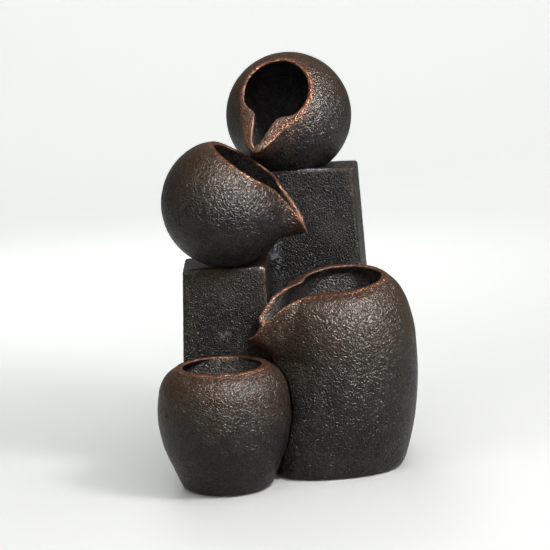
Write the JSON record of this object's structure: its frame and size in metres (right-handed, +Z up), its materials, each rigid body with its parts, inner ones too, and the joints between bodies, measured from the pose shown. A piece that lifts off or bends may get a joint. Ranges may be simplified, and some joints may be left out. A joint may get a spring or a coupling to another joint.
{
  "type": "tiered water fountain",
  "caption": "Free-standing tiered water fountain: spouted orbs spill into jars on stepped hollow pillars, with a pump, riser and sump hidden inside.",
  "frame": {"origin": "middle of the bounding box's footprint, at the ground", "axes": "+Z up, -Y towards the front, where the small jar is, +X to the right as seen from the front"},
  "size_m": [0.428, 0.4784, 0.6907],
  "materials": {
    "bronze_cast_stone": "hammered bronze-painted casting, satin, copper wear on rims",
    "bronze_cast_pillar": "fine-grained bronze-painted casting, satin",
    "black_plastic": "moulded",
    "black_rubber": "matt",
    "smoke_vinyl": "smoky vinyl hose",
    "stainless_steel": "bright",
    "white_ceramic": "ground",
    "sponge_foam": "open-cell foam"
  },
  "bodies": {
    "fountain": {"cord_grommet": "black_rubber", "foot_pad_1": "black_rubber", "foot_pad_2": "black_rubber", "foot_pad_3": "black_rubber", "foot_pad_4": "black_rubber", "foot_pad_5": "black_rubber", "foot_pad_6": "black_rubber", "hose_clamp_lower": "stainless_steel", "hose_clamp_upper": "stainless_steel", "impeller_shaft": "white_ceramic", "left_orb": "bronze_cast_stone", "outlet_fitting": "black_plastic", "outlet_nozzle": "black_plastic", "outlet_nut": "black_plastic", "outlet_washer": "black_rubber", "pump_housing": "black_plastic", "return_pipe": "black_plastic", "riser_hose": "smoke_vinyl", "short_pillar": "bronze_cast_pillar", "small_jar": "bronze_cast_stone", "suction_foot_1": "black_rubber", "suction_foot_2": "black_rubber", "suction_foot_3": "black_rubber", "suction_foot_4": "black_rubber", "sump_tray": "black_plastic", "tall_jar": "bronze_cast_stone", "tall_pillar": "bronze_cast_pillar", "top_orb": "bronze_cast_stone", "volute_cover": "black_plastic"},
    "impeller_body": {"impeller": "black_plastic"},
    "strainer_body": {"intake_strainer": "black_plastic"},
    "dial_body": {"flow_dial": "black_plastic"},
    "sponge_body": {"filter_sponge": "sponge_foam"},
    "door_body": {"access_door": "bronze_cast_pillar", "door_screw_1": "stainless_steel", "door_screw_2": "stainless_steel", "door_screw_3": "stainless_steel", "door_screw_4": "stainless_steel"},
    "drain_body": {"drain_plug": "black_rubber"}
  },
  "joints": [
    {"name": "impeller_spin", "type": "hinge", "parent": "fountain", "child": "impeller_body", "pos_m": [0.01, 0.1278, 0.033], "axis": [1, 0, 0], "continuous": true},
    {"name": "strainer_pull", "type": "slide", "parent": "fountain", "child": "strainer_body", "axis": [-1, 0, 0], "range_m": [0, 0.01]},
    {"name": "dial_turn", "type": "hinge", "parent": "strainer_body", "child": "dial_body", "pos_m": [-0.0196, 0.1278, 0.033], "axis": [1, 0, 0], "range_deg": [0, 60]},
    {"name": "sponge_lift", "type": "slide", "parent": "fountain", "child": "sponge_body", "axis": [0, 0, 1], "range_m": [0, 0.045]},
    {"name": "door_off", "type": "slide", "parent": "fountain", "child": "door_body", "axis": [0, 1, 0], "range_m": [0, 0.08]},
    {"name": "drain_off", "type": "slide", "parent": "fountain", "child": "drain_body", "axis": [0, 1, 0], "range_m": [0, 0.035]}
  ]
}
